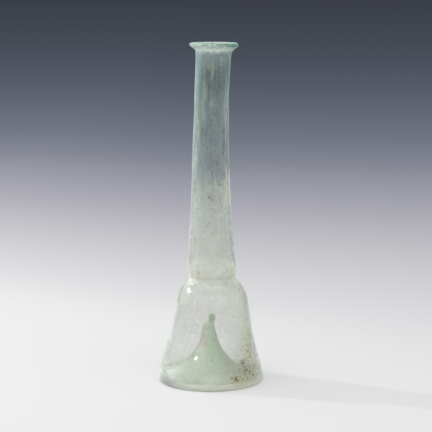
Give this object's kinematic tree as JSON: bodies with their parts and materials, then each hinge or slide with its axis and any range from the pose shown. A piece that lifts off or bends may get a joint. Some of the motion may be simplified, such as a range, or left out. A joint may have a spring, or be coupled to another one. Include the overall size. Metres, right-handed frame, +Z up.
{
  "type": "glass unguentarium",
  "caption": "Blown glass unguentarium: a small scented-oil bottle with a tall tapering neck, a flared lip, a bell-shaped body and a base pushed up into a pointed kick.",
  "frame": {"origin": "centre of the standing ring, on the surface that the vessel stands on", "axes": "+Z up along the neck, +X to the right of the side that is seen first, which faces -Y"},
  "size_m": [0.0534, 0.0534, 0.17],
  "materials": {
    "weathered_glass": "pale green blown glass, glossy, faintly clouded and pitted by burial"
  },
  "bodies": {
    "root": {"vessel": "weathered_glass"}
  },
  "joints": []
}
